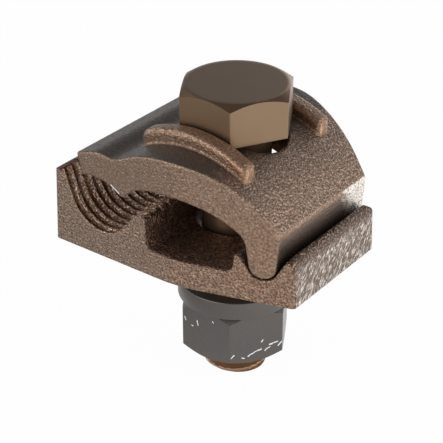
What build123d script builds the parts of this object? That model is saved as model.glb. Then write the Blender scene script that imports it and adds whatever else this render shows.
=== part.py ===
"""Grounding clamp: two bronze castings hooked together round a cable, drawn up by one hexagon bolt."""
import os
from math import asin, atan2, cos, dist, radians, sin, sqrt, tan

from build123d import *

# Frame: the bolt axis is Z, the flat underside that meets the bar is z = 0, the cable runs along Y at -X.
# All sizes are millimetres.

# Hexagon bolt, nut and lock washer of half-inch size
bolt_diameter = 12.7
bolt_length = 50.8
across_flats = 19.05
head_height = 7.94
nut_height = 11.11
hex_chamfer_angle = 34
hex_face_share = 0.984
nut_chamfer_angle = 35
nut_face_share = 0.945
hex_margin = 1
bolt_end_chamfer = 0.8
bolt_end_chamfer_length = 1.8
thread_play = 0.05
nut_mouth_chamfer = 0.7
washer_diameter = 22.1
washer_thickness = 3.65
washer_play = 0.2
washer_split_width = 1.1
washer_split_slant = 35
bar_gap = 6.85

# Outline that both castings share, seen from above
clamp_width = 38.4
taper_start = 1.0
taper_angle = 16.8
taper_blend_radius = 28
casting_edge_fillet = 0.3
seat_corner_fillet = 0.4
hook_corner_fillet = 0.9

# Lower casting: floor, cable seat, hump, pocket, hook groove and lip
floor_thickness = 5.35
bolt_hole_diameter = 15.0
seat_offset = 16.1
seat_radius = 7.4
seat_wall_lean = 19
seat_wall_height = 15.1
seat_wall_thickness = 2.05
seat_right_angle = -12
hump_thickness = 3.0
hump_rise = 0.75
hump_fillet = 0.9
pocket_fillet = 1.5
ridge_height = 8.95
ridge_lean = 6
ridge_top_width = 0.95
ridge_fillet = 0.5
groove_lean = 28.5
lip_height = 9.8
lip_thickness = 1.0
lip_fillet = 0.4
lip_outer_radius = 1.0
lip_outer_break = 14
lip_front_run = 2.6
lip_front_fall = 1.2
lip_rear_run = 3.12
lip_rear_fall = 2.9
lip_end_over = 0.12
casting_draft = 3
base_edge_fillet = 0.3

# Teeth across the cable seat
tooth_pitch = 1.92
tooth_depth = 0.85
tooth_crest = 0.5
tooth_end_land = 0.08

# Hook of the upper casting in the groove of the lower one
hook_offset = 16.05
hook_height = 7.5
hook_radius = 2.45
hook_play = 0.32

# Upper casting: arch, haunch, leg, pad, tooth and tip
keeper_height = 24.45
head_play = 0.12
arch_radius = 22.6
arch_shift = -0.4
haunch_angle = 50
haunch_fillet = 1.2
leg_outer_lean = 5
leg_inner_lean = 8
leg_inner_height = 4.7
leg_inner_fillet = 3.5
crown_thickness = 6.82
intrados_radius = 21.2
intrados_shift = -0.8
pad_radius = 9.0
pad_shift = -1.2
pad_crest_height = 16.2
tooth_offset = 11.15
tooth_fillet = 0.9
intrados_left = -8.5
flank_fillet = 4
tip_end_offset = 20.25
tip_end_lean = 15
tip_top_fall = 4.5
tip_knee_offset = 16.3
tip_knee_fall = 2.8
tip_knee_fillet = 7
arch_left_offset = 12.4
tip_blend_radius = 5
knee_share = 0.49
tip_fillet = 0.5

# Slot of the upper casting and the ribs that hold the bolt head
slot_length = 19.5
slot_width = 14.2
rib_play = 0.22
rib_thickness = 3.3
rib_left_end = -11.3
rib_right_end = 11.3
rib_rise = 2.65
rib_sink = 5
rib_top_radius = 23.9
rib_top_shift = -0.9
rib_corner_fillet = 2.2
rib_edge_fillet = 0.9
rib_foot_fillet = 0.3

# Distance within which an edge counts as lying on a surface, and the lean that still counts as upright
near = 0.02
upright_lean = casting_draft + 1

os.makedirs("parts", exist_ok=True)

# Places worked out from the sizes above
bolt_radius = bolt_diameter / 2
half_width = clamp_width / 2
seat_z = floor_thickness + seat_radius
groove_radius = hook_radius + hook_play
head_seat_z = keeper_height + head_play
bolt_end_z = head_seat_z - bolt_length
washer_z = -bar_gap - washer_thickness
nut_z = washer_z - nut_height
arch_z = keeper_height - arch_radius
intrados_z = keeper_height - crown_thickness - intrados_radius
corner_radius = across_flats / sqrt(3)
hex_face_radius = across_flats / 2 * hex_face_share
head_top_z = head_seat_z + head_height
hex_clear_radius = corner_radius + hex_margin
head_chamfer_z = head_top_z - (hex_clear_radius - hex_face_radius) * tan(radians(hex_chamfer_angle))
nut_face_radius = across_flats / 2 * nut_face_share
nut_chamfer_height = (hex_clear_radius - nut_face_radius) * tan(radians(nut_chamfer_angle))
bore_radius = bolt_radius + thread_play


def at_angle(x, z, radius, angle):
    """Point on a circle, with the angle counted from +X towards +Z."""
    return (x + radius * cos(radians(angle)), z + radius * sin(radians(angle)))


def on_circle(x, centre_x, centre_z, radius):
    """Height of the upper half of a circle at x."""
    return centre_z + sqrt(radius**2 - (x - centre_x) ** 2)


def faces_sideways(face):
    """True for the front and back faces of a casting, with the tapered parts."""
    return abs(face.normal_at().Y) > abs(face.normal_at().X)


def upright(edge):
    """True for edges that stand upright or lean only by the draft."""
    return abs((edge % 0.5).Z) > cos(radians(upright_lean))


# Side profile of the lower casting
seat_left = at_angle(-seat_offset, seat_z, seat_radius, 180 + seat_wall_lean)
seat_right = at_angle(-seat_offset, seat_z, seat_radius, seat_right_angle)
wall_inner_x = seat_left[0] - (seat_wall_height - seat_left[1]) * tan(radians(seat_wall_lean))
wall_outer_x = wall_inner_x - seat_wall_thickness
wall_foot_x = wall_outer_x - seat_wall_height * tan(radians(casting_draft))
pocket_left = seat_right[0] + hump_thickness
hump_top = seat_right[1] + hump_rise
groove_left = at_angle(hook_offset, hook_height, groove_radius, 180 + groove_lean)
groove_right = at_angle(hook_offset, hook_height, groove_radius, -groove_lean)
ridge_right = groove_left[0] - (ridge_height - groove_left[1]) * tan(radians(groove_lean))
ridge_left = ridge_right - ridge_top_width
pocket_right = ridge_left - (ridge_height - floor_thickness) * tan(radians(ridge_lean))
lip_inner_x = groove_right[0] + (lip_height - groove_right[1]) * tan(radians(groove_lean))
lip_outer_x = lip_inner_x + lip_thickness
lip_foot_x = lip_outer_x + lip_height * tan(radians(casting_draft))
lip_round_x = lip_outer_x - lip_outer_radius * cos(radians(lip_outer_break))
lip_round_z = lip_height - lip_outer_radius

# Outline of both castings from above, as deep as clamp_width and tapered towards the hook
outline_left = wall_foot_x
outline_right = lip_foot_x
nose_half_width = half_width - (outline_right - taper_start) * tan(radians(taper_angle))

with BuildSketch() as casting_outline:
    with BuildLine():
        Polyline(
            (outline_left, -half_width),
            (taper_start, -half_width),
            (outline_right, -nose_half_width),
            (outline_right, nose_half_width),
            (taper_start, half_width),
            (outline_left, half_width),
            close=True,
        )
    make_face()
    taper_corners = casting_outline.vertices().sort_by(Axis.X)[2:4]
    fillet(taper_corners, radius=taper_blend_radius)

# Profile of the cable seat: an arc from the hump to the left wall, open upwards
seat_roof = seat_wall_height + seat_radius
with BuildSketch(Plane.XZ) as seat_profile:
    with BuildLine():
        seat_flank = Line(
            (wall_inner_x - (seat_roof - seat_wall_height) * tan(radians(seat_wall_lean)), seat_roof),
            seat_left,
        )
        ThreePointArc(seat_left, (-seat_offset, floor_thickness), seat_right)
        Line(seat_right, (pocket_left, hump_top))
        Line((pocket_left, hump_top), (pocket_left, seat_roof))
        Line((pocket_left, seat_roof), seat_flank @ 0)
    make_face()

# Teeth: one V groove that follows the seat, widest at the crest and pointed at the root
groove_mouth = tooth_pitch - tooth_crest
with BuildPart() as seat_groove:
    with BuildSketch(Plane.XZ.offset(-groove_mouth / 2)):
        add(seat_profile.sketch)
    with BuildSketch(Plane.XZ):
        add(seat_profile.sketch)
        offset(amount=tooth_depth, kind=Kind.INTERSECTION)
    with BuildSketch(Plane.XZ.offset(groove_mouth / 2)):
        add(seat_profile.sketch)
    loft(ruled=True)

groove_pairs = int((half_width - tooth_end_land - groove_mouth / 2) / tooth_pitch + 0.5)
groove_places = [(0, (k + 0.5) * tooth_pitch * side, 0) for k in range(groove_pairs) for side in (-1, 1)]


def outer_corner(edge):
    """True for the four upright corners of the lower casting."""
    middle = edge @ 0.5
    return upright(edge) and not wall_outer_x < middle.X < lip_inner_x


def top_rim(edge):
    """True for the upper edges, without those of the cable seat that the teeth cut."""
    middle = edge @ 0.5
    in_seat = wall_inner_x < middle.X < pocket_left - hump_fillet
    return not upright(edge) and not in_seat and middle.Z > base_edge_fillet + near


with BuildPart() as base_jaw:
    with BuildSketch(Plane.XZ) as base_profile:
        with BuildLine():
            Polyline(
                (wall_foot_x, 0),
                (wall_outer_x, seat_wall_height),
                (wall_inner_x, seat_wall_height),
                seat_left,
            )
            ThreePointArc(seat_left, (-seat_offset, floor_thickness), seat_right)
            Polyline(
                seat_right,
                (pocket_left, hump_top),
                (pocket_left, floor_thickness),
                (pocket_right, floor_thickness),
                (ridge_left, ridge_height),
                (ridge_right, ridge_height),
                groove_left,
            )
            ThreePointArc(groove_left, (hook_offset, hook_height - groove_radius), groove_right)
            Polyline(groove_right, (lip_inner_x, lip_height), (lip_outer_x, lip_height), (lip_foot_x, 0))
            Line((lip_foot_x, 0), (wall_foot_x, 0))
        make_face()
        for place, radius in (
            ((pocket_left, hump_top), hump_fillet),
            ((pocket_left, floor_thickness), pocket_fillet),
            ((pocket_right, floor_thickness), pocket_fillet),
            ((ridge_left, ridge_height), ridge_fillet),
            ((ridge_right, ridge_height), ridge_fillet),
            ((lip_inner_x, lip_height), lip_fillet),
        ):
            fillet(base_profile.vertices().sort_by_distance(place)[0], radius)
    extrude(amount=half_width, both=True)
    extrude(casting_outline.sketch, amount=seat_roof, mode=Mode.INTERSECT)
    outer_corners = base_jaw.edges().filter_by(outer_corner).group_by(Axis.X)
    fillet(outer_corners[0], seat_corner_fillet)
    fillet(outer_corners[-1], hook_corner_fillet)
    fillet(base_jaw.faces().sort_by(Axis.Z)[0].edges(), base_edge_fillet)
    fillet(base_jaw.faces().filter_by(faces_sideways).edges().filter_by(top_rim), casting_edge_fillet)
    with BuildSketch(Plane.XZ):
        with BuildLine():
            lip_arc = CenterArc((lip_round_x, lip_round_z), lip_outer_radius, 0, 90)
            Polyline(
                lip_arc @ 1,
                (lip_round_x, seat_roof),
                (seat_roof, seat_roof),
                (seat_roof, lip_round_z),
                lip_arc @ 0,
            )
        make_face()
    extrude(amount=half_width, both=True, mode=Mode.SUBTRACT)
    for side, run, fall in ((-1, lip_front_run, lip_front_fall), (1, lip_rear_run, lip_rear_fall)):
        end_foot_y = side * (nose_half_width + lip_end_over)
        end_top_y = end_foot_y - side * run
        end_radius = (run**2 + fall**2) / (2 * fall)
        with BuildSketch(Plane.YZ.offset(hook_offset)):
            with BuildLine():
                RadiusArc((end_top_y, lip_height), (end_foot_y, lip_height - fall), side * end_radius)
                Polyline(
                    (end_foot_y, lip_height - fall),
                    (side * half_width, seat_roof),
                    (end_top_y, seat_roof),
                    (end_top_y, lip_height),
                )
            make_face()
        extrude(amount=seat_roof, mode=Mode.SUBTRACT)
    with Locations(*groove_places):
        add(seat_groove.part, mode=Mode.SUBTRACT)
    with BuildSketch():
        Circle(bolt_hole_diameter / 2)
    extrude(amount=seat_roof, mode=Mode.SUBTRACT)

base_jaw.part.label = "base_jaw"
export_step(base_jaw.part, "parts/base_jaw.step")

# Side profile of the upper casting: extrados, shoulder, leg with its hook, intrados, tooth, pad and tip
arch_left = (-arch_left_offset, on_circle(-arch_left_offset, arch_shift, arch_z, arch_radius))
crown = (arch_shift, keeper_height)
haunch = at_angle(arch_shift, arch_z, arch_radius, 90 - haunch_angle)
leg_outer = at_angle(hook_offset, hook_height, hook_radius, -leg_outer_lean)
leg_inner = at_angle(hook_offset, hook_height, hook_radius, 180 + leg_inner_lean)
leg_foot = (hook_offset, hook_height - hook_radius)
outer_run = tan(radians(leg_outer_lean))
shoulder_fall = tan(radians(haunch_angle))
shoulder_x = (leg_outer[0] + outer_run * (haunch[1] - leg_outer[1] + shoulder_fall * haunch[0])) / (
    1 + outer_run * shoulder_fall
)
shoulder = (shoulder_x, haunch[1] - shoulder_fall * (shoulder_x - haunch[0]))
knee_z = hook_height + leg_inner_height
knee = (leg_inner[0] - (knee_z - leg_inner[1]) * tan(radians(leg_inner_lean)), knee_z)
intrados_crest = (intrados_shift, keeper_height - crown_thickness)
flank_top = (intrados_left, on_circle(intrados_left, intrados_shift, intrados_z, intrados_radius))
pad_x = pad_shift - seat_offset
pad_z = pad_crest_height - pad_radius
tooth_tip = (-tooth_offset, on_circle(-tooth_offset, pad_x, pad_z, pad_radius))
pad_left = (-tip_end_offset, on_circle(-tip_end_offset, pad_x, pad_z, pad_radius))
tip_top_z = keeper_height - tip_top_fall
tip_top = (pad_left[0] - (tip_top_z - pad_left[1]) * tan(radians(tip_end_lean)), tip_top_z)
tip_knee = (-tip_knee_offset, keeper_height - tip_knee_fall)

# The knee and the blend into the arch share the straight run between them, so neither fillet takes more than its part
knee_run = dist(tip_knee, arch_left)
knee_fall = atan2(tip_knee[1] - arch_left[1], arch_left[0] - tip_knee[0])
knee_turn = knee_fall + atan2(tip_knee[1] - tip_top[1], tip_knee[0] - tip_top[0])
blend_turn = knee_fall + asin((arch_shift - arch_left[0]) / arch_radius)
knee_radius = min(tip_knee_fillet, knee_run * knee_share / tan(knee_turn / 2))
blend_radius = min(tip_blend_radius, knee_run * knee_share / tan(blend_turn / 2))

# Side profile of a rib: vertical ends and a crest that runs beside the extrados
rib_crest_z = keeper_height + rib_rise
rib_top_z = rib_crest_z - rib_top_radius
rib_left_top = (rib_left_end, on_circle(rib_left_end, rib_top_shift, rib_top_z, rib_top_radius))
rib_right_top = (rib_right_end, on_circle(rib_right_end, rib_top_shift, rib_top_z, rib_top_radius))
rib_inner_y = across_flats / 2 + rib_play
rib_middle_y = rib_inner_y + rib_thickness / 2
rib_edge_floor = rib_right_top[1] - rib_sink / 2

with BuildPart() as rib:
    with BuildSketch(Plane.XZ) as rib_profile:
        with BuildLine():
            ThreePointArc(rib_left_top, (rib_top_shift, rib_crest_z), rib_right_top)
            Polyline(
                rib_right_top,
                (rib_right_end, rib_right_top[1] - rib_sink),
                (rib_left_end, rib_left_top[1] - rib_sink),
                rib_left_top,
            )
        make_face()
        fillet(rib_profile.vertices().group_by(Axis.Y)[-1], rib_corner_fillet)
    extrude(amount=rib_thickness / 2, both=True)
    rib_edges = rib.faces().filter_by(Axis.Y).edges()
    fillet(rib_edges.filter_by_position(Axis.Z, rib_edge_floor, rib_crest_z), rib_edge_fillet)


# Slot for the bolt, with round ends, long enough for the upper casting to tilt
with BuildSketch() as slot_outline:
    SlotOverall(slot_length, slot_width)

with BuildPart() as keeper:
    with BuildSketch(Plane.XZ) as keeper_profile:
        with BuildLine():
            ThreePointArc(arch_left, crown, haunch)
            Polyline(haunch, shoulder, leg_outer)
            ThreePointArc(leg_outer, leg_foot, leg_inner)
            Line(leg_inner, knee)
            ThreePointArc(knee, intrados_crest, flank_top)
            Line(flank_top, tooth_tip)
            ThreePointArc(tooth_tip, (pad_x, pad_crest_height), pad_left)
            Polyline(pad_left, tip_top, tip_knee, arch_left)
        make_face()
        for place, radius in (
            (shoulder, haunch_fillet),
            (knee, leg_inner_fillet),
            (flank_top, flank_fillet),
            (tooth_tip, tooth_fillet),
            (pad_left, tip_fillet),
            (tip_top, tip_fillet),
            (tip_knee, knee_radius),
            (arch_left, blend_radius),
        ):
            fillet(keeper_profile.vertices().sort_by_distance(place)[0], radius)
    extrude(amount=half_width, both=True)
    extrude(casting_outline.sketch, amount=keeper_height, mode=Mode.INTERSECT)
    side_edges = keeper.faces().filter_by(faces_sideways).edges()
    fillet(side_edges.filter_by(Axis.Z, reverse=True), casting_edge_fillet)
    with Locations((0, -rib_middle_y, 0), (0, rib_middle_y, 0)):
        add(rib.part)
    fillet(keeper.edges(Select.NEW), rib_foot_fillet)
    extrude(slot_outline.sketch, amount=rib_crest_z, mode=Mode.SUBTRACT)

keeper.part.label = "keeper"
export_step(keeper.part, "parts/keeper.step")

# Hexagon bolt with its axis on Z, the head above the upper casting
with BuildPart() as bolt:
    with BuildSketch(Plane.XY.offset(head_seat_z)):
        RegularPolygon(across_flats / 2, 6, major_radius=False)
    extrude(amount=head_height)
    with BuildSketch(Plane.XZ):
        with BuildLine():
            Polyline(
                (0, head_seat_z),
                (hex_clear_radius, head_seat_z),
                (hex_clear_radius, head_chamfer_z),
                (hex_face_radius, head_top_z),
                (0, head_top_z),
                close=True,
            )
        make_face()
    revolve(axis=Axis.Z, mode=Mode.INTERSECT)
    with BuildSketch(Plane.XY.offset(head_seat_z)):
        Circle(bolt_radius)
    extrude(amount=-bolt_length)
    end_edge = bolt.edges().filter_by(GeomType.CIRCLE).group_by(Axis.Z)[0]
    shank = bolt.faces().sort_by(Axis.Z)[1]
    chamfer(end_edge, length=bolt_end_chamfer_length, length2=bolt_end_chamfer, reference=shank)

bolt.part.label = "bolt"
export_step(bolt.part, "parts/bolt.step")

# Split lock washer
with BuildPart() as lock_washer:
    with BuildSketch(Plane.XY.offset(washer_z)):
        Circle(washer_diameter / 2)
        Circle(bolt_radius + washer_play, mode=Mode.SUBTRACT)
    extrude(amount=washer_thickness)
    with BuildSketch(Plane.XZ):
        with BuildLine():
            slant_run = washer_thickness / 2 * tan(radians(washer_split_slant))
            Polyline(
                (-slant_run - washer_split_width / 2, washer_z),
                (-slant_run + washer_split_width / 2, washer_z),
                (slant_run + washer_split_width / 2, washer_z + washer_thickness),
                (slant_run - washer_split_width / 2, washer_z + washer_thickness),
                close=True,
            )
        make_face()
    extrude(amount=-washer_diameter / 2, mode=Mode.SUBTRACT)

lock_washer.part.label = "lock_washer"
export_step(lock_washer.part, "parts/lock_washer.step")

# Hexagon nut, chamfered at both ends, with a plain bore for the bolt's thread
with BuildPart() as hex_nut:
    with BuildSketch(Plane.XY.offset(nut_z)):
        RegularPolygon(across_flats / 2, 6, major_radius=False)
    extrude(amount=nut_height)
    with BuildSketch(Plane.XZ):
        with BuildLine():
            Polyline(
                (bore_radius + nut_mouth_chamfer, nut_z),
                (nut_face_radius, nut_z),
                (hex_clear_radius, nut_z + nut_chamfer_height),
                (hex_clear_radius, washer_z - nut_chamfer_height),
                (nut_face_radius, washer_z),
                (bore_radius + nut_mouth_chamfer, washer_z),
                (bore_radius, washer_z - nut_mouth_chamfer),
                (bore_radius, nut_z + nut_mouth_chamfer),
                close=True,
            )
        make_face()
    revolve(axis=Axis.Z, mode=Mode.INTERSECT)

hex_nut.part.label = "hex_nut"
export_step(hex_nut.part, "parts/hex_nut.step")
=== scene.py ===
import math
import bmesh
import bpy
import numpy as np
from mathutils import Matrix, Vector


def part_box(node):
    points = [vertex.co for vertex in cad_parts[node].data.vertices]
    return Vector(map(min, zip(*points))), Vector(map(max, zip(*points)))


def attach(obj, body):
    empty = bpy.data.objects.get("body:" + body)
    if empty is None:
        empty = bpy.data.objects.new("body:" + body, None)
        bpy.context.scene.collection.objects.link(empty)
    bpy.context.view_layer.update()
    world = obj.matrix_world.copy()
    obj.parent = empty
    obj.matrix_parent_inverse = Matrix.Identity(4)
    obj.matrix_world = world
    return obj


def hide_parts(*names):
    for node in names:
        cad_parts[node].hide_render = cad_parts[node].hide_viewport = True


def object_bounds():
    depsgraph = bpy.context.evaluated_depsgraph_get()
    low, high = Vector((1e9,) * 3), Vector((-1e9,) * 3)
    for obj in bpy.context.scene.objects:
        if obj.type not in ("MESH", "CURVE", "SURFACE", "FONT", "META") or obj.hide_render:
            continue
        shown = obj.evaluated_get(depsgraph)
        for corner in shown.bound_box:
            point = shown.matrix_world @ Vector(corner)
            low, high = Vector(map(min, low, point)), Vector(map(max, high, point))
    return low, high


# Grounding clamp: two sand cast bronze jaws hooked together, a hexagon bolt, a nut and a split washer.
# Lengths are metres. The bolt stands on Z, the cable runs along Y in the serrated seat at -X.

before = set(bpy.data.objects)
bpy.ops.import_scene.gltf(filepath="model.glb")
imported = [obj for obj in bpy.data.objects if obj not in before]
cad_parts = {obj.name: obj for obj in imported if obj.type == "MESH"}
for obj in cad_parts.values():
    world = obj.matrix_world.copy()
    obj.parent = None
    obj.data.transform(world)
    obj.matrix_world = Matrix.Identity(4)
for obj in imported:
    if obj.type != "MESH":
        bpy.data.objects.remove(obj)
loadedLow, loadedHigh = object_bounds()
mm = 0.001
print("frame loaded")


# Node helpers, for the studio and for the metal finishes

rising, falling = (0.0, 1.0), (1.0, 0.0)
softSamples = 6    # rays for one rounded normal, and for one look round for open sky


def addObject(name, data):
    made = bpy.data.objects.new(name, data)
    bpy.context.scene.collection.objects.link(made)
    return made


class Nodes:
    # short ways to add nodes to a tree and to join them; a value is a number, a colour or another node's output
    def __init__(self, tree):
        self.tree = tree

    def set(self, made, key, value):
        socket = made.inputs[key]
        if isinstance(value, bpy.types.NodeSocket):
            self.tree.links.new(value, socket)
        else:
            socket.default_value = value

    def add(self, kind, **inputs):
        made = self.tree.nodes.new(kind)
        for key, value in inputs.items():
            self.set(made, key, value)
        return made

    def math(self, operation, *values, clamp=False):
        made = self.add("ShaderNodeMath")
        made.operation = operation
        made.use_clamp = clamp
        for index, value in enumerate(values):
            self.set(made, index, value)
        return made.outputs[0]

    def times(self, first, *others):
        for value in others:
            first = self.math("MULTIPLY", first, value)
        return first

    def plus(self, first, second):
        return self.math("ADD", first, second)

    def minus(self, first, second):
        return self.math("SUBTRACT", first, second)

    def scaled(self, value, factor, start):
        # the value times the factor, and the start added
        return self.math("MULTIPLY_ADD", value, factor, start)

    def reach(self, first, second):
        # straight distance over two distances at right angles: the root of the sum of their squares
        return self.math("SQRT", self.plus(self.times(first, first), self.times(second, second)))

    def step(self, value, span, result=rising, shape="SMOOTHSTEP"):
        # goes smoothly through the result's two numbers while the value goes through the span
        made = self.add("ShaderNodeMapRange", Value=value)
        made.interpolation_type = shape
        for key, number in zip(("From Min", "From Max", "To Min", "To Max"), (*span, *result)):
            made.inputs[key].default_value = number
        return made.outputs["Result"]

    def split(self, vector):
        return self.add("ShaderNodeSeparateXYZ", Vector=vector).outputs

    def blend(self, share, first, second):
        # from the first surface shader to the second
        made = self.add("ShaderNodeMixShader")
        for index, value in enumerate((share, first, second)):
            self.set(made, index, value)
        return made.outputs[0]


# Camera, floor, backdrop and lamps

view = {
    "lens": 111.17,
    "sensor": 36.0,
    "nearest": 0.01,
    "place": (0.12943, -0.17750, 0.13097),
    "turn": (60.004, 0.0, 36.812),
}

studio = {
    "floorSize": 1.6,
    "floorGap": 0.00002,
    "floorColour": (0.82, 0.82, 0.81, 1),
    "floorGlow": 0.97,             # share of the floor that reads as plain white paper
    "floorInMetal": (0.48, 1.36),  # brightness of the floor as metal sees it, dim at the left and bright at the right
    "floorTurn": 20,               # direction from dim to bright, degrees from +X
    "floorFade": 0.06,             # distance from the middle to either end of the fade
    "paper": (1, 1, 1, 1),
    "backdrop": (0.95, 0.95, 0.95, 1),
    "ceiling": (0.20, 0.225, 0.265, 1),
    "skyFill": 0.42,               # soft light from all round
    "skyEdge": (0.05, 0.35),       # heights between which the backdrop turns into the ceiling
}

lampTable = [
    # name, place, size, watts, colour
    ("rightWindow", (0.62, 0.14, 0.24), 0.60, 3.0, (1.0, 0.98, 0.95)),
    ("frontSoft", (-0.16, -0.66, 0.20), 0.60, 2.9, (1.0, 0.97, 0.94)),
    ("leftSoft", (-0.60, -0.20, 0.30), 0.40, 1.3, (0.94, 0.97, 1.0)),
    ("backSoft", (-0.10, 0.66, 0.20), 0.40, 0.7, (1.0, 1.0, 1.0)),
]


def makeCamera():
    data = bpy.data.cameras.new("photoView")
    data.lens = view["lens"]
    data.sensor_width = view["sensor"]
    data.clip_start = view["nearest"]
    camera = addObject("photoView", data)
    camera.location = view["place"]
    camera.rotation_euler = [math.radians(a) for a in view["turn"]]
    bpy.context.scene.camera = camera


def makeWorld():
    # the camera sees white paper, metal sees white below and a dim ceiling above, the rest is an even fill
    world = bpy.data.worlds.new("paleStudio")
    world.use_nodes = True
    world.node_tree.nodes.clear()
    sky = Nodes(world.node_tree)
    rays = sky.add("ShaderNodeLightPath").outputs
    height = sky.split(sky.add("ShaderNodeTexCoord").outputs["Generated"])[2]
    plain = sky.add("ShaderNodeBackground", Color=studio["paper"], Strength=studio["skyFill"]).outputs[0]
    paper, backdrop, ceiling = (
        sky.add("ShaderNodeBackground", Color=studio[name]).outputs[0] for name in ("paper", "backdrop", "ceiling"))
    inMetal = sky.blend(sky.step(height, studio["skyEdge"]), backdrop, ceiling)
    unseen = sky.blend(rays["Is Glossy Ray"], plain, inMetal)
    straight = sky.math("MAXIMUM", rays["Is Camera Ray"], rays["Is Transmission Ray"])
    sky.add("ShaderNodeOutputWorld", Surface=sky.blend(straight, unseen, paper))
    bpy.context.scene.world = world


def makeFloor():
    low = loadedLow[2] - studio["floorGap"]
    half = studio["floorSize"] / 2
    corners = [(-half, -half, low), (half, -half, low), (half, half, low), (-half, half, low)]
    mesh = bpy.data.meshes.new("paleFloor")
    mesh.from_pydata(corners, [], [(0, 1, 2, 3)])
    floor = addObject("paleFloor", mesh)
    paint = bpy.data.materials.new("floorPaper")
    paint.use_nodes = True
    paint.node_tree.nodes.clear()
    paper = Nodes(paint.node_tree)
    rays = paper.add("ShaderNodeLightPath").outputs
    # metal sees the floor fade from dim to bright, the camera sees plain paper
    coords = paper.add("ShaderNodeTexCoord").outputs["Object"]
    turned = paper.add("ShaderNodeMapping", Vector=coords, Rotation=(0, 0, -math.radians(studio["floorTurn"])))
    along = paper.split(turned.outputs["Vector"])[0]
    fade = paper.step(along, (-studio["floorFade"], studio["floorFade"]), studio["floorInMetal"], "LINEAR")
    strength = paper.scaled(rays["Is Glossy Ray"], paper.minus(fade, 1.0), 1.0)
    glow = paper.add("ShaderNodeEmission", Strength=strength).outputs[0]
    matt = paper.add("ShaderNodeBsdfDiffuse", Color=studio["floorColour"]).outputs[0]
    seen = paper.math("MAXIMUM", rays["Is Camera Ray"], rays["Is Glossy Ray"])
    sheet = paper.blend(paper.times(seen, studio["floorGlow"]), matt, glow)
    # seen from below the floor is clear, so the underside of the clamp can be looked at
    clear = paper.add("ShaderNodeBsdfTransparent").outputs[0]
    below = paper.add("ShaderNodeNewGeometry").outputs["Backfacing"]
    paper.add("ShaderNodeOutputMaterial", Surface=paper.blend(below, sheet, clear))
    mesh.materials.append(paint)


def makeLamps():
    for name, place, size, watts, colour in lampTable:
        data = bpy.data.lights.new(name, "AREA")
        data.size = size
        data.energy = watts
        data.color = colour
        lamp = addObject(name, data)
        lamp.location = place
        lamp.rotation_mode = "QUATERNION"
        towards = -lamp.location.normalized()
        lamp.rotation_quaternion = towards.to_track_quat("-Z", "Y")


makeCamera()
makeWorld()
makeFloor()
makeLamps()
print("camera, floor and lamps set")


# A metal finish: a material with its shader, and the masks that a used surface needs

class Finish(Nodes):
    def __init__(self, name):
        self.material = bpy.data.materials.new(name)
        self.material.use_nodes = True
        super().__init__(self.material.node_tree)
        self.shader = self.tree.nodes["Principled BSDF"]
        coords = self.add("ShaderNodeTexCoord").outputs
        self.object = coords["Object"]
        self.place = self.split(coords["Object"])
        self.normal = self.split(coords["Normal"])

    def noise(self, scale, detail, roughness, distortion=0.0, vector=None):
        made = self.add("ShaderNodeTexNoise", Scale=scale, Detail=detail, Roughness=roughness, Distortion=distortion)
        self.set(made, "Vector", vector or self.object)
        return made.outputs["Fac"]

    def stretch(self, scale, turn):
        # the place turned about X, then drawn out along its own axes by the scale
        made = self.add("ShaderNodeMapping", Vector=self.object, Scale=scale, Rotation=(math.radians(turn), 0, 0))
        made.vector_type = "TEXTURE"
        return made.outputs["Vector"]

    def mix(self, share, first, second, blend="MIX"):
        # from the first colour to the second; a mix node takes its colours in places 6 and 7 and gives one at 2
        made = self.add("ShaderNodeMix")
        made.data_type = "RGBA"
        made.blend_type = blend
        self.set(made, 0, share)
        for index, value in ((6, first), (7, second)):
            self.set(made, index, value if isinstance(value, bpy.types.NodeSocket) else (*value, 1.0))
        return made.outputs[2]

    def bump(self, height, strength, distance, **normal):
        made = self.add("ShaderNodeBump", Height=height, Strength=strength, Distance=distance, **normal)
        return made.outputs["Normal"]

    def rounded(self, radius):
        # the normal as if every edge had this radius
        made = self.add("ShaderNodeBevel", Radius=radius)
        made.samples = softSamples
        return made.outputs["Normal"]

    def edges(self, radius, span):
        # edges, for rubbed metal and a painted highlight: where a rounded normal leaves the true one
        dot = self.add("ShaderNodeVectorMath")
        dot.operation = "DOT_PRODUCT"
        self.set(dot, 0, self.rounded(radius))
        self.set(dot, 1, self.add("ShaderNodeNewGeometry").outputs["Normal"])
        return self.step(self.minus(1.0, dot.outputs["Value"]), span)

    def hollows(self, distance, span):
        # deep places, for painted shade: where little open sky is left round a point
        made = self.add("ShaderNodeAmbientOcclusion", Distance=distance)
        made.samples = softSamples
        return self.step(made.outputs["AO"], span, falling)

    def facingUp(self, span):
        # 1 where the surface leans back from upright by the slant of a chamfer: between the span's middle two numbers
        return self.times(self.step(self.normal[2], span[:2]), self.step(self.normal[2], span[2:], falling))

    def fromStroke(self, across, up, stroke):
        # distance to a stroke: the share along it, held between its ends, gives the nearest point of it
        (s0, h0), (s1, h1) = stroke
        ds, dh = (s1 - s0) * mm, (h1 - h0) * mm
        square = ds * ds + dh * dh
        shareS = self.scaled(across, ds / square, -s0 * mm * ds / square)
        shareH = self.scaled(up, dh / square, -h0 * mm * dh / square)
        share = self.math("ADD", shareS, shareH, clamp=True)
        offS = self.minus(across, self.scaled(share, ds, s0 * mm))
        offH = self.minus(up, self.scaled(share, dh, h0 * mm))
        return self.reach(offS, offH)


def wear(fin, look, tone, patches=None):
    # edges turn to a lighter tone, partly rubbed metal and partly a painted highlight, in patches where they are
    # given, and deep places are darkened with painted shade
    rubbedAndLit = fin.times(fin.edges(look["edgeRadius"], look["edgeSpan"]), look["edgeShare"])
    if patches is not None:
        rubbedAndLit = fin.times(rubbedAndLit, patches)
    tone = fin.mix(rubbedAndLit, tone, look["edge"])
    deepShade = fin.hollows(look["hollowReach"], look["hollowSpan"])
    return fin.mix(fin.times(deepShade, look["hollowShare"]), tone, look["hollowShade"])


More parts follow.
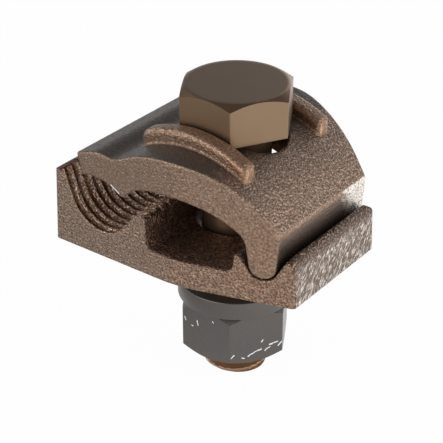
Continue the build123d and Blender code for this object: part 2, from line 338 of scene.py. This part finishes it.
def coat(fin, look, tone, dull, normal):
    # puts tone, dullness and relief on the shader
    fin.set(fin.shader, "Base Color", tone)
    fin.set(fin.shader, "Metallic", look["metallic"])
    fin.set(fin.shader, "Roughness", fin.step(dull, look["dullSpan"], look["roughness"]))
    fin.set(fin.shader, "Normal", normal)
    return fin.material


# Sand cast bronze of both jaws. A noise is its scale, detail, roughness and distortion. A span gives the two numbers
# between which a mask rises or falls: of a noise, of how far the surface faces along an axis, or of a place

castBronze = {
    "sand": (2550.0, 0.7, 0.5),
    "sandShare": 0.8,
    "clump": (950.0, 2.0, 0.5, 0.4),
    "cloud": (95.0, 3.0, 0.5),
    "face": (0.252, 0.177, 0.131),
    "pit": (0.146, 0.100, 0.074),
    "pitSpan": (0.38, 0.50),
    "grain": (0.390, 0.299, 0.230),
    "grainSpan": (0.55, 0.66),
    "grainShare": 0.75,
    "warmTint": (1.15, 0.97, 0.85),
    "cloudSpan": (0.45, 0.70),
    "cloudWarmth": (0.0, 0.25),
    "hookward": (-18 * mm, 12 * mm),
    "hookwardWarmth": (-0.10, 0.48),
    # lighter edges: partly rubbed metal, partly a painted highlight
    "edge": (0.66, 0.45, 0.30),
    "edgeRadius": 0.55 * mm,
    "edgeSpan": (0.02, 0.16),
    "edgeShare": 0.65,
    "edgeGrain": (0.42, 0.58),
    # painted shade in hollows
    "hollowShade": (0.050, 0.030, 0.022),
    "hollowReach": 6 * mm,
    "hollowSpan": (0.15, 0.60),
    "hollowShare": 0.5,
    "metallic": 0.8,
    "roughness": (0.46, 0.34),
    "dullSpan": (0.35, 0.65),
    "grainHeight": 0.80 * mm,
    "cornerRound": 0.75 * mm,
}

baseLook = {
    # outer end face, with long bright streaks
    "streak": (2450.0, 1.5, 0.6, 0.4),
    "streakStretch": (1.0, 1.0, 2.5),
    "streakTurn": -38,
    "end": (0.30, 0.25, 0.21),
    "endSpan": (0.38, 0.54),
    "endLight": (0.88, 0.78, 0.69),
    "endLightSpan": (0.50, 0.68),
    "endLightShare": 0.8,
    "endFacing": (0.90, 0.985),
    "endPlace": (18.6 * mm, 19.2 * mm),
    "endHeight": (8.2 * mm, 9.6 * mm),
    # top of the lip, painted dark: painted shade on an upward face
    "lip": (0.072, 0.044, 0.031),
    "lipSpan": (0.48, 0.66),
    "lipHeight": (8.4 * mm, 9.8 * mm),
    "lipPlace": (17.6 * mm, 18.2 * mm),
    "ragged": 3.0 * mm,
    # inner faces, between the two end walls: dark brown, partly their own colour and partly painted shade
    "sideFacing": (0.55, 0.85),
    "innerToneAndShade": (0.205, 0.122, 0.086),
    "insidePit": (0.080, 0.046, 0.032),
    "insidePitSpan": (0.40, 0.52),
    "insideWarm": (0.330, 0.205, 0.140),
    "insideWarmSpan": (0.50, 0.68),
    "insidePlace": (18.2 * mm, 18.8 * mm),
    "insideHeight": (4.6 * mm, 5.0 * mm),
    "outerFacing": (-0.95, -0.85),
    "outerPlace": (-26.6 * mm, -26.0 * mm),
    "rimSpan": (0.42, 0.58),
    "rimHeight": (14.8 * mm, 15.0 * mm),
    "rimFacing": (0.80, 0.95),
    # height of the grain, and how much more or less it is on these faces
    "relief": 0.80,
    "insideRelief": -0.15,
    "endRelief": 0.25,
}

# Cable seat: where the serrated arc lies, to colour its teeth by their depth: painted highlight on the crests and
# painted shade in the valleys
seatPlace = {
    "axis": (-16.1 * mm, 12.75 * mm),
    "radius": 7.4 * mm,
    "wallLean": 19,
    "humpCorner": (-8.862 * mm, 11.211 * mm),
    "humpLean": 14,
    "humpRoom": 3.5 * mm,
    "seatEnd": (-6.6 * mm, -6.0 * mm),
    "toothDepth": 0.85 * mm,
    "fleck": (2600.0, 1.0, 0.5),
    "crest": (0.62, 0.44, 0.32),
    "crestSpan": (0.42, 0.50),
    "crestLight": (0.95, 0.80, 0.66),
    "crestLightSpan": (0.54, 0.62),
    "flank": (0.330, 0.178, 0.105),
    "flankSpan": (0.48, 0.60),
    "flankDepth": (0.05, 0.20),
    "valleyShade": (0.175, 0.070, 0.031),
    "valleyDepth": (0.34, 0.66),
}

keeperLook = {
    "evenShare": 0.25,
    # outer side of the leg, painted dark as painted shade in the groove, with a painted pale reflection at its rear
    # end
    "legFacing": (0.80, 0.95),
    "legPlace": (15.0 * mm, 16.0 * mm),
    "legShade": (0.150, 0.112, 0.090),
    "legHeight": (11.4 * mm, 14.2 * mm),
    "legReflection": (0.78, 0.73, 0.67),
    "reflectionSpan": (0.36, 0.56),
    "reflectionShare": (0.35, 1.0),
    "reflectionPlace": (14.2 * mm, 17.4 * mm),
    "reflectionHeight": (6.5 * mm, 8.5 * mm),
    "reflectionLean": 0.5,
    "ragged": 5.0 * mm,
    # smooth crown and tip, painted dark on top as painted shade
    "top": (0.099, 0.0756, 0.0603),
    "topLight": (0.121, 0.0924, 0.0737),
    "topSpan": (0.40, 0.60),
    "topFacing": (0.62, 0.82),
    "topPlace": (8.6 * mm, 12.0 * mm),
    # guard ribs
    "ribTint": (1.08, 1.0, 0.92),
    "ribInner": (9.4 * mm, 9.8 * mm),
    "ribOuter": (12.9 * mm, 13.3 * mm),
    "ribEnd": (11.4 * mm, 11.8 * mm),
    # coarse slope to the hook
    "slope": (0.205, 0.145, 0.110),
    "slopePit": (0.085, 0.058, 0.043),
    "slopePitSpan": (0.40, 0.52),
    "slopeGrain": (0.34, 0.265, 0.215),
    "slopeGrainSpan": (0.55, 0.66),
    "slopeFacing": (0.35, 0.60),
    "slopeShare": 0.33,
    # painted glint at the pad's front edge, a thin white stroke standing in for light caught there, from one end to
    # the other in x and z
    "padGlint": ((-13.38, 15.80), (-11.66, 14.72)),
    "padGlintTone": (1.0, 0.98, 0.95),
    "padGlintWidth": (0.11 * mm, 0.16 * mm),
    "padGlintPlace": (-18.9 * mm, -18.8 * mm),
    # height of the grain, and how much more or less it is on these faces
    "relief": 0.26,
    "topRelief": -0.14,
    "slopeRelief": 0.10,
    "ribRelief": -0.25,
}


def castGround(fin, look):
    # fine sand over soft clumps makes the grain, about 0 to 1. The ground is brown with darker pits and light grains,
    # warmer in clouds and towards the hook
    sand, clump, cloud = (fin.noise(*look[name]) for name in ("sand", "clump", "cloud"))
    grain = fin.plus(fin.times(sand, look["sandShare"]), fin.times(clump, 1 - look["sandShare"]))
    warmth = fin.plus(fin.step(cloud, look["cloudSpan"], look["cloudWarmth"]),
                      fin.step(fin.place[0], look["hookward"], look["hookwardWarmth"]))
    ground = fin.mix(fin.step(grain, look["pitSpan"]), look["pit"], look["face"])
    ground = fin.mix(fin.times(fin.step(grain, look["grainSpan"]), look["grainShare"]), ground, look["grain"])
    return sand, clump, grain, fin.mix(warmth, ground, look["warmTint"], "MULTIPLY")


def seatDepth(fin, seat):
    # depth behind the seat's face: the distance from its axis less the radius, straight along the wall and the hump
    lean = math.radians(seat["wallLean"])
    offX = fin.minus(fin.place[0], seat["axis"][0])
    offZ = fin.minus(fin.place[2], seat["axis"][1])
    out = fin.plus(fin.times(offX, -math.cos(lean)), fin.times(offZ, -math.sin(lean)))
    up = fin.plus(fin.times(offX, -math.sin(lean)), fin.times(offZ, math.cos(lean)))
    fromArc = fin.minus(fin.reach(out, fin.math("MINIMUM", up, 0.0)), seat["radius"])
    cornerX, cornerZ = seat["humpCorner"]
    rise = math.tan(math.radians(seat["humpLean"]))
    fromHump = fin.minus(fin.scaled(fin.minus(fin.place[0], cornerX), rise, cornerZ), fin.place[2])
    fromHump = fin.math("MAXIMUM", fromHump, fin.minus(cornerX - seat["humpRoom"], fin.place[0]))
    return fin.math("MINIMUM", fromArc, fromHump)


def toothLightAndShade(fin, seat):
    # crests painted light with bright grains as a painted highlight, rust brown flanks, valleys painted almost black
    # as painted shade
    depth = fin.math("DIVIDE", seatDepth(fin, seat), seat["toothDepth"])
    fleck = fin.noise(*seat["fleck"])
    crest = fin.mix(fin.step(fleck, seat["crestSpan"]), seat["flank"], seat["crest"])
    crest = fin.mix(fin.step(fleck, seat["crestLightSpan"]), crest, seat["crestLight"])
    flank = fin.mix(fin.step(fleck, seat["flankSpan"]), seat["flank"], seat["crest"])
    tooth = fin.mix(fin.step(depth, seat["flankDepth"]), crest, flank)
    return fin.mix(fin.step(depth, seat["valleyDepth"]), tooth, seat["valleyShade"])


def finishCasting(fin, look, ground, grain, relief):
    # edges lighter on the grains alone, partly rubbed and partly a painted highlight, with painted shade in hollows;
    # duller in the pits, and soft at the corners: the grain lies on a rounded normal
    ground = wear(fin, look, ground, fin.step(grain, look["edgeGrain"]))
    normal = fin.bump(relief, 1.0, look["grainHeight"], Normal=fin.rounded(look["cornerRound"]))
    return coat(fin, look, ground, grain, normal)


def makeBaseBronze(name, look, zone, seat):
    fin = Finish(name)
    clump, grain, ground = castGround(fin, look)[1:]
    notSide = fin.step(fin.math("ABSOLUTE", fin.normal[1]), zone["sideFacing"], falling)
    # the outer end face has long bright streaks, up to just below the lip's top
    streak = fin.noise(*zone["streak"], fin.stretch(zone["streakStretch"], zone["streakTurn"]))
    raggedTop = fin.scaled(clump, zone["ragged"], fin.place[2])
    endward = fin.times(fin.step(fin.normal[0], zone["endFacing"]), fin.step(fin.place[0], zone["endPlace"]),
                        fin.step(raggedTop, zone["endHeight"], falling))
    end = fin.mix(fin.step(streak, zone["endSpan"]), look["pit"], zone["end"])
    light = fin.times(fin.step(streak, zone["endLightSpan"]), zone["endLightShare"])
    ground = fin.mix(endward, ground, fin.mix(light, end, zone["endLight"]))
    # the lip's top is painted dark: painted shade on an upward face
    onLip = fin.times(fin.step(raggedTop, zone["lipHeight"]), fin.step(fin.place[0], zone["lipPlace"]), notSide)
    ground = fin.mix(onLip, ground, fin.mix(fin.step(grain, zone["lipSpan"]), zone["lip"], look["face"]))
    # everything between the two end walls that does not face front or back is dark brown, partly its own colour and
    # partly painted shade
    outerEnd = fin.times(fin.step(fin.normal[0], zone["outerFacing"], falling),
                         fin.step(fin.place[0], zone["outerPlace"], falling))
    inward = fin.times(notSide, fin.step(fin.place[0], zone["insidePlace"], falling),
                       fin.step(fin.place[2], zone["insideHeight"]), fin.minus(1.0, outerEnd))
    innerToneAndShade = fin.mix(fin.step(clump, zone["insideWarmSpan"]), zone["innerToneAndShade"], zone["insideWarm"])
    innerToneAndShade = fin.mix(fin.step(grain, zone["insidePitSpan"]), zone["insidePit"], innerToneAndShade)
    innerToneAndShade = fin.mix(fin.step(fin.place[0], seat["seatEnd"], falling), innerToneAndShade, toothLightAndShade(fin, seat))
    # the wall's flat rim above the teeth faces up and is painted dark too: painted shade
    onRim = fin.times(fin.step(fin.place[2], zone["rimHeight"]), fin.step(fin.normal[2], zone["rimFacing"]))
    innerToneAndShade = fin.mix(onRim, innerToneAndShade, fin.mix(fin.step(grain, zone["rimSpan"]), zone["lip"], zone["innerToneAndShade"]))
    ground = fin.mix(inward, ground, innerToneAndShade)
    share = fin.scaled(endward, zone["endRelief"], fin.scaled(inward, zone["insideRelief"], zone["relief"]))
    relief = fin.times(fin.plus(grain, fin.times(streak, endward)), share)
    return finishCasting(fin, look, ground, grain, relief)


def makeKeeperBronze(name, look, zone):
    fin = Finish(name)
    sand, clump, grain, ground = castGround(fin, look)
    ground = fin.mix(zone["evenShare"], ground, look["face"])
    # the leg's outer side is painted dark in the groove as painted shade, with a painted pale reflection at its rear
    # end
    legward = fin.times(fin.step(fin.normal[0], zone["legFacing"]), fin.step(fin.place[0], zone["legPlace"]))
    ground = fin.mix(fin.times(legward, fin.step(fin.place[2], zone["legHeight"], falling)), ground, zone["legShade"])
    # painted reflection: a pale patch on the leg's rear end, made ragged by the clumps
    leaning = fin.scaled(clump, zone["ragged"], fin.times(fin.place[2], zone["reflectionLean"]))
    legReflection = fin.times(fin.step(fin.plus(fin.place[1], leaning), zone["reflectionPlace"]),
                     fin.step(fin.place[2], zone["reflectionHeight"]), legward,
                     fin.step(sand, zone["reflectionSpan"], zone["reflectionShare"]))
    ground = fin.mix(legReflection, ground, zone["legReflection"])
    # the crown and the tip are smooth, and painted dark on top as painted shade, but for the ribs; the slope to the
    # hook is coarse sand
    outward = fin.math("ABSOLUTE", fin.place[1])
    onRib = fin.times(fin.step(outward, zone["ribInner"]), fin.step(outward, zone["ribOuter"], falling),
                      fin.step(fin.math("ABSOLUTE", fin.place[0]), zone["ribEnd"], falling))
    notRib = fin.minus(1.0, onRib)
    wander = fin.scaled(clump, zone["ragged"], fin.place[0])
    shadedTop = fin.times(fin.step(fin.normal[2], zone["topFacing"]), fin.step(wander, zone["topPlace"], falling), notRib)
    ground = fin.mix(shadedTop, ground, fin.mix(fin.step(grain, zone["topSpan"]), zone["top"], zone["topLight"]))
    slope = fin.times(fin.step(fin.normal[2], zone["slopeFacing"]), fin.minus(1.0, shadedTop))
    crust = fin.mix(fin.step(grain, zone["slopePitSpan"]), zone["slopePit"], zone["slope"])
    crust = fin.mix(fin.step(grain, zone["slopeGrainSpan"]), crust, zone["slopeGrain"])
    ground = fin.mix(fin.times(slope, notRib, zone["slopeShare"]), ground, crust)
    ground = fin.mix(onRib, ground, zone["ribTint"], "MULTIPLY")
    # a painted glint runs along the pad's front edge, where it comes down to the seat
    away = fin.fromStroke(fin.place[0], fin.place[2], zone["padGlint"])
    padGlint = fin.times(fin.step(away, zone["padGlintWidth"], falling), fin.step(fin.place[1], zone["padGlintPlace"], falling))
    ground = fin.mix(padGlint, ground, zone["padGlintTone"])
    share = fin.scaled(slope, zone["slopeRelief"], fin.scaled(shadedTop, zone["topRelief"], zone["relief"]))
    relief = fin.times(grain, share, fin.scaled(onRib, zone["ribRelief"], 1.0))
    return finishCasting(fin, look, ground, grain, relief)


# Rolled bronze of the bolt and the darker bronze of nut and washer

boltBronze = {
    "cloud": (120.0, 3.0, 0.5),
    "cloudSpan": (0.35, 0.7),
    "tone": (0.225, 0.150, 0.094),
    "cloudTone": (0.215, 0.143, 0.089),
    "fresh": (0.36, 0.215, 0.12),
    "freshHeight": (1.5 * mm, 5.0 * mm),    # above the bolt's end
    # the head's chamfer is darkened by this tint as painted shade
    "chamferTint": (0.69, 0.62, 0.57),
    "chamferFacing": (0.55, 0.70, 0.90, 0.96),
    "headHeight": (0.0, 5.0 * mm),
    # lighter edges: partly rubbed metal, partly a painted highlight
    "edge": (0.36, 0.27, 0.20),
    "edgeRadius": 0.22 * mm,
    "edgeSpan": (0.03, 0.28),
    "edgeShare": 0.25,
    # painted shade in hollows
    "hollowShade": (0.05, 0.025, 0.015),
    "hollowReach": 3 * mm,
    "hollowSpan": (0.10, 0.60),
    "hollowShare": 0.6,
    "metallic": 0.85,
    "roughness": (0.34, 0.38),
    "dullSpan": (0.3, 0.7),
    "fine": (5200.0, 2.0, 0.5),
    "fineShare": 0.20,
    "fineHeight": 0.01 * mm,
}

nutBronze = {
    "cloud": (220.0, 4.0, 0.55),
    "cloudSpan": (0.35, 0.68),
    "tone": (0.110, 0.104, 0.100),
    "cloudTone": (0.118, 0.104, 0.094),
    "chamferTint": (2.4, 2.4, 2.4),
    "chamferFacing": (0.55, 0.70, 0.90, 0.96),
    # lighter edges: partly rubbed metal, partly a painted highlight
    "edge": (0.22, 0.21, 0.20),
    "edgeRadius": 0.25 * mm,
    "edgeSpan": (0.02, 0.25),
    "edgeShare": 0.30,
    # painted shade in hollows
    "hollowShade": (0.040, 0.030, 0.026),
    "hollowReach": 3 * mm,
    "hollowSpan": (0.10, 0.60),
    "hollowShare": 0.7,
    "metallic": 0.7,
    "roughness": (0.24, 0.30),
    "dullSpan": (0.3, 0.7),
    "fine": (4200.0, 3.0, 0.5),
    "fineShare": 0.25,
    "fineHeight": 0.01 * mm,
}

# Painted glints on two faces of the nut: bright strokes standing in for light caught on the faces, each face given by
# the direction it looks in. A glint is a short stroke, its two ends given in millimetres along the face and above the
# underside
nutGlints = {
    "tone": (0.92, 0.92, 0.91),
    "width": (0.091 * mm, 0.13 * mm),
    "faceOut": (9.40 * mm, 9.45 * mm),
    "wander": (1400.0, 1.0, 0.5),
    "ragged": 0.55 * mm,
    "faces": [
        (-30, [((-5.1, 2.3), (-4.5, 2.9)), ((-2.9, 1.9), (-2.4, 1.6)), ((-1.6, 1.9), (-0.2, 2.6)),
               ((-0.2, 2.6), (1.1, 2.8)), ((1.9, 2.4), (2.9, 2.9)), ((2.8, 3.4), (4.5, 3.7)),
               ((1.1, 4.5), (1.4, 4.8)), ((4.6, 2.7), (5.3, 3.4))]),
        (-90, [((-5.0, 7.7), (-4.7, 7.1)), ((-3.3, 6.6), (-3.0, 6.4)), ((-2.0, 7.9), (-1.8, 7.1)),
               ((1.6, 9.2), (1.8, 9.0))]),
    ],
}


def cloudTone(fin, look):
    # two close tones in soft clouds
    cloud = fin.noise(*look["cloud"])
    return cloud, fin.mix(fin.step(cloud, look["cloudSpan"]), look["tone"], look["cloudTone"])


def rolledCoat(fin, look, tone, cloud):
    # duller in the clouds, over a very fine grain
    return coat(fin, look, tone, cloud, fin.bump(fin.noise(*look["fine"]), look["fineShare"], look["fineHeight"]))


def makeBoltBronze(name, look, endHeight):
    fin = Finish(name)
    cloud, tone = cloudTone(fin, look)
    # the end of the shank below the nut is fresh copper brown
    low, high = (endHeight + rise for rise in look["freshHeight"])
    tone = fin.mix(fin.step(fin.place[2], (low, high), falling), tone, look["fresh"])
    # the head's chamfer faces up and is painted a little darker than the forged faces: painted shade
    shadedChamfer = fin.times(fin.facingUp(look["chamferFacing"]), fin.step(fin.place[2], look["headHeight"]))
    tone = fin.mix(shadedChamfer, tone, look["chamferTint"], "MULTIPLY")
    return rolledCoat(fin, look, wear(fin, look, tone), cloud)


def glintStrokes(fin, base, marks):
    # painted glints: short bright strokes on two faces, their edges made ragged by a noise
    wander = fin.scaled(fin.noise(*marks["wander"]), marks["ragged"], -0.5 * marks["ragged"])
    up = fin.plus(fin.minus(fin.place[2], base), wander)
    total = 0.0
    for facing, strokes in marks["faces"]:
        turn = math.radians(facing)
        along = fin.scaled(fin.place[0], -math.sin(turn), fin.times(fin.place[1], math.cos(turn)))
        outward = fin.scaled(fin.place[0], math.cos(turn), fin.times(fin.place[1], math.sin(turn)))
        onFace = fin.step(outward, marks["faceOut"])
        for stroke in strokes:
            away = fin.fromStroke(along, up, stroke)
            total = fin.math("MAXIMUM", total, fin.times(onFace, fin.step(away, marks["width"], falling)))
    return total


def makeNutBronze(name, look, base, marks):
    fin = Finish(name)
    cloud, tone = cloudTone(fin, look)
    tone = wear(fin, look, tone)
    if marks:
        # the nut alone: its turned chamfer is lighter, and two faces have painted glints
        tone = fin.mix(fin.facingUp(look["chamferFacing"]), tone, look["chamferTint"], "MULTIPLY")
        tone = fin.mix(glintStrokes(fin, base, marks), tone, marks["tone"])
    return rolledCoat(fin, look, tone, cloud)


print("finishes made")


# Castings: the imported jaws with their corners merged, so that curved faces shade smoothly

castings = {
    "mergeGap": 0.002 * mm,
    "sharpAngle": 28,
}


def mergeCorners(mesh, gap, outward):
    build = bmesh.new()
    build.from_mesh(mesh)
    bmesh.ops.remove_doubles(build, verts=build.verts, dist=gap)
    if outward:
        bmesh.ops.recalc_face_normals(build, faces=build.faces)
    build.to_mesh(mesh)
    build.free()


def shade(mesh, sharpAngle):
    mesh.shade_smooth()
    mesh.set_sharp_from_angle(angle=math.radians(sharpAngle))


def smoothCopy(node, name, look):
    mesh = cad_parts[node].data.copy()
    mesh.name = name
    mesh.materials.clear()
    mergeCorners(mesh, look["mergeGap"], False)
    piece = addObject(name, mesh)
    shade(mesh, look["sharpAngle"])
    even = piece.modifiers.new("evenShading", "WEIGHTED_NORMAL")
    even.keep_sharp = True
    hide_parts(node)
    return piece


baseJaw = smoothCopy("base_jaw", "castBaseJaw", castings)
baseJaw.data.materials.append(makeBaseBronze("castBronzeBase", castBronze, baseLook, seatPlace))
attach(baseJaw, "base")

keeperJaw = smoothCopy("keeper", "castKeeper", castings)
keeperJaw.data.materials.append(makeKeeperBronze("castBronzeKeeper", castBronze, keeperLook))
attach(keeperJaw, "keeper")
print("castings dressed")


# Turned and rolled pieces: rings of points round the bolt axis, joined to a grid

grid = {
    "mergeGap": 1e-7,
    "flatSteps": 14,       # angles over one flat of a hexagon
    "cornerSteps": 5,      # angles over one rounded corner
    "chamferShares": (0.12, 0.35, 0.6, 0.85, 1.0),
}

# The rolled thread, its crest and its flanks as shares of half a turn
thread = {
    "lead": 1.9538 * mm,
    "turn": -45,
    "crest": 0.14,
    "flank": 0.62,
}

sixth, twelfth = math.pi / 3, math.pi / 6


def hexagon(look):
    # angles round the axis, closer together in the rounded corners, and the distance out to the hexagon there, flats
    # towards +-Y: on a flat half the width across flats over the cosine of the angle from its middle, near a corner
    # a circle of the corner radius
    half, corner = look["flats"] / 2, look["corner"]
    centre = (half - corner) / math.cos(twelfth)
    edge = math.atan(centre * math.sin(twelfth) / half)
    flat = np.linspace(-edge, edge, grid["flatSteps"], endpoint=False)
    bend = np.linspace(edge, sixth - edge, grid["cornerSteps"], endpoint=False)
    one = np.concatenate([flat, bend]) + twelfth
    angle = np.unique(np.round((one[None, :] + np.arange(6)[:, None] * sixth).ravel(), 9))
    turn = np.mod(angle, sixth) - twelfth
    off = twelfth - np.abs(turn)
    arc = centre * np.cos(off) + np.sqrt(np.maximum(corner**2 - (centre * np.sin(off))**2, 0))
    onFlat = np.tan(np.abs(turn)) * half <= centre * math.sin(twelfth)
    return angle, np.where(onFlat, half / np.cos(turn), arc)


def threadDepth(angle, height, depth):
    # a trapezoid over the share of a turn from the nearest crest: flat crest, straight flanks, flat root
    share = np.mod(height / thread["lead"] - (angle + math.radians(thread["turn"])) / (2 * math.pi), 1.0)
    away = np.abs(share - 0.5) * 2
    return depth * np.clip((away - thread["crest"]) / thread["flank"], 0, 1)


def around(radius, height, angle):
    # a ring of points: radius times the cosine and the sine of the angle, and the height. Radius and height are
    # numbers or follow the angle, and a column of them gives many rings
    radius, height, angle = np.broadcast_arrays(radius, height, angle)
    return np.stack([radius * np.cos(angle), radius * np.sin(angle), height], -1)


def flatRings(shares, inner, outer, height, angle):
    # a flat face from the inner to the outer radius
    return [around(inner + (outer - inner) * t, height, angle) for t in shares]


def coneRings(shares, hexR, faceR, height, slope, angle):
    # chamfer cone: falls away with the distance from the face circle, until the flat cuts it
    reaches = [faceR + (hexR - faceR) * t for t in shares]
    return [around(reach, height - (reach - faceR) * slope, angle) for reach in reaches]


def sideRings(shares, hexR, upper, lower, angle):
    # the six sides from the upper to the lower height
    return [around(hexR, upper + (lower - upper) * t, angle) for t in shares]


def gridPiece(name, points, closed, sharpAngle, ends=()):
    # points is an array (along the profile, round it, 3): round it the last joins the first, along it where closed
    along, count = points.shape[:2]
    r, c = np.meshgrid(np.arange(along if closed else along - 1), np.arange(count), indexing="ij")
    rNext, cNext = (r + 1) % along, (c + 1) % count
    quads = np.stack([r * count + c, rNext * count + c, rNext * count + cNext, r * count + cNext], -1)
    mesh = bpy.data.meshes.new(name)
    mesh.from_pydata(points.reshape(-1, 3).tolist(), [], quads.reshape(-1, 4).tolist() + list(ends))
    mergeCorners(mesh, grid["mergeGap"], True)
    piece = addObject(name, mesh)
    shade(mesh, sharpAngle)
    return piece


# Hexagon bolt with a rolled thread on its lower part. Shares say how far over a face its rings of points lie

boltPiece = {
    "flats": 19.05 * mm,
    "corner": 0.30 * mm,
    "faceShare": 0.984,
    "faceShares": (0.0, 0.25, 0.5, 0.75, 0.93, 1.0),
    "chamferAngle": 34,
    "headHeight": 7.94 * mm,
    "sideShares": (0.02, 0.1, 0.3, 0.6, 0.9, 1.0),
    "edgeRound": 0.15 * mm,
    "edgeAngles": (30, 60, 90),
    "radius": 6.35 * mm,
    "rootRing": 0.8 * mm,
    "rootFillet": 0.5 * mm,
    "rootAngles": (0, 30, 60, 90),
    "shankSteps": 6,
    "threadSteps": 420,
    "threadDepth": 1.05 * mm,
    "threadStart": 3.0 * mm,
    "runOut": 2.5 * mm,
    "endLength": 1.5 * mm,
    "endDrop": 0.45 * mm,
    "endShares": (0.85, 0.6, 0.3, 0.0),
    "sharpAngle": 40,
}


def makeBolt(look):
    low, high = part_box("bolt")
    top, end = high[2], low[2]
    seat = top - look["headHeight"]
    angle, hexR = hexagon(look)
    faceR = look["flats"] / 2 * look["faceShare"]
    slope = math.tan(math.radians(look["chamferAngle"]))
    rings = flatRings(look["faceShares"], 0.0, faceR, top, angle)
    rings += coneRings(grid["chamferShares"], hexR, faceR, top, slope, angle)
    soft = look["edgeRound"]
    rings += sideRings(look["sideShares"], hexR, top - (hexR - faceR) * slope, seat + soft, angle)
    for a in np.radians(look["edgeAngles"]):
        rings.append(around(hexR - soft * (1 - math.cos(a)), seat + soft - soft * math.sin(a), angle))
    fillet = look["rootFillet"]
    shank = look["radius"]
    rings.append(around(shank + fillet + look["rootRing"], seat, angle))
    for a in np.radians(look["rootAngles"]):
        rings.append(around(shank + fillet - fillet * math.sin(a), seat - fillet + fillet * math.cos(a), angle))
    # shank and thread: the radius drops by the thread's depth, which grows over the run out, and by the end's chamfer
    start = look["threadStart"]
    plain = np.linspace(seat - fillet, start, look["shankSteps"])[1:, None]
    rings.extend(around(shank, plain, angle))
    cut = np.linspace(start, end, look["threadSteps"])[1:, None]
    grow = np.clip((start - cut) / look["runOut"], 0, 1)
    threaded = shank - threadDepth(angle, cut, look["threadDepth"]) * grow
    cone = shank - look["endDrop"] * np.clip((end + look["endLength"] - cut) / look["endLength"], 0, 1)
    radius = np.minimum(threaded, cone)
    rings.extend(around(radius, cut, angle))
    rings += flatRings(look["endShares"], 0.0, radius[-1], end, angle)
    return gridPiece("threadedBolt", np.array(rings), False, look["sharpAngle"])


bolt = makeBolt(boltPiece)
bolt.data.materials.append(makeBoltBronze("boltBronze", boltBronze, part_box("bolt")[0][2]))
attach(bolt, "bolt")
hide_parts("bolt")
print("bolt made")


# Hexagon nut, chamfered at both ends, threaded inside

nutPiece = {
    "flats": 19.05 * mm,
    "corner": 0.30 * mm,
    "faceShare": 0.945,
    "faceShares": (0.0, 0.3, 0.7, 0.96, 1.0),
    "chamferAngle": 35,
    "sideShares": (0.02, 0.15, 0.4, 0.6, 0.85, 0.98),
    "bore": 6.40 * mm,
    "mouth": 0.7 * mm,
    "threadSteps": 170,
    "threadDepth": 0.95 * mm,
    "sharpAngle": 40,
}


def makeNut(look):
    low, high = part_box("hex_nut")
    bottom, top = low[2], high[2]
    angle, hexR = hexagon(look)
    faceR = look["flats"] / 2 * look["faceShare"]
    slope = math.tan(math.radians(look["chamferAngle"]))
    mouthR = look["bore"] + look["mouth"]
    fall = (hexR - faceR) * slope
    rings = flatRings(look["faceShares"], mouthR, faceR, top, angle)
    rings += coneRings(grid["chamferShares"], hexR, faceR, top, slope, angle)
    rings += sideRings(look["sideShares"], hexR, top - fall, bottom + fall, angle)
    rings += coneRings((0.0, *grid["chamferShares"]), hexR, faceR, bottom, -slope, angle)[::-1]
    rings += flatRings(look["faceShares"][:-1], mouthR, faceR, bottom, angle)[::-1]
    # the bore carries the thread's crests inwards, and both mouths are countersunk
    height = np.linspace(bottom, top, look["threadSteps"])[1:-1, None]
    crest = look["bore"] - threadDepth(angle, height, look["threadDepth"])
    mouth = mouthR - np.minimum(height - bottom, top - height)
    rings.extend(around(np.maximum(crest, mouth), height, angle))
    return gridPiece("threadedNut", np.array(rings), True, look["sharpAngle"])


nut = makeNut(nutPiece)
nut.data.materials.append(makeNutBronze("nutBronze", nutBronze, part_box("hex_nut")[0][2], nutGlints))
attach(nut, "nut")
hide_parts("hex_nut")
print("nut made")


# Split lock washer: a square wire bent into one turn, with slanted ends that stand a little apart

washerPiece = {
    "outer": 11.05 * mm,
    "inner": 6.55 * mm,
    "round": 0.22 * mm,
    "roundSteps": 5,
    "split": 1.1 * mm,
    "splitTurn": 90,
    "slant": 35,
    "steps": 150,
    "sharpAngle": 30,
}


def makeWasher(look):
    low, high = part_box("lock_washer")
    bottom, top = low[2], high[2]
    soft = look["round"]
    # section: a rectangle with quarter circles at its corners, given by their centres and the angles they start at
    outer, inner = look["outer"] - soft, look["inner"] + soft
    upper, lower = top - soft, bottom + soft
    corners = [(outer, upper, 0), (inner, upper, 90), (inner, lower, 180), (outer, lower, 270)]
    bend = np.radians(np.linspace(0, 90, look["roundSteps"]))
    radius = np.concatenate([r + soft * np.cos(bend + math.radians(a)) for r, z, a in corners])
    height = np.concatenate([z + soft * np.sin(bend + math.radians(a)) for r, z, a in corners])
    # the wire runs once round but for the split: each end stands off it by half the split's width over the radius,
    # and leans by the tangent of the slant times the height over the middle
    lean = (height - (bottom + top) / 2) * math.tan(math.radians(look["slant"]))
    turn = math.radians(look["splitTurn"])
    begin = turn + (look["split"] / 2 - lean) / radius
    finish = turn + 2 * math.pi - (look["split"] / 2 + lean) / radius
    angle = begin + (finish - begin) * np.linspace(0, 1, look["steps"])[:, None]
    steps, count = angle.shape
    ends = [list(range(count)), list(range((steps - 1) * count, steps * count))[::-1]]
    return gridPiece("springWasher", around(radius, height, angle), False, look["sharpAngle"], ends)


washer = makeWasher(washerPiece)
washer.data.materials.append(makeNutBronze("washerBronze", nutBronze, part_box("lock_washer")[0][2], None))
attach(washer, "washer")
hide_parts("lock_washer")
print("washer made")

bpy.context.scene.view_settings.view_transform = "Standard"
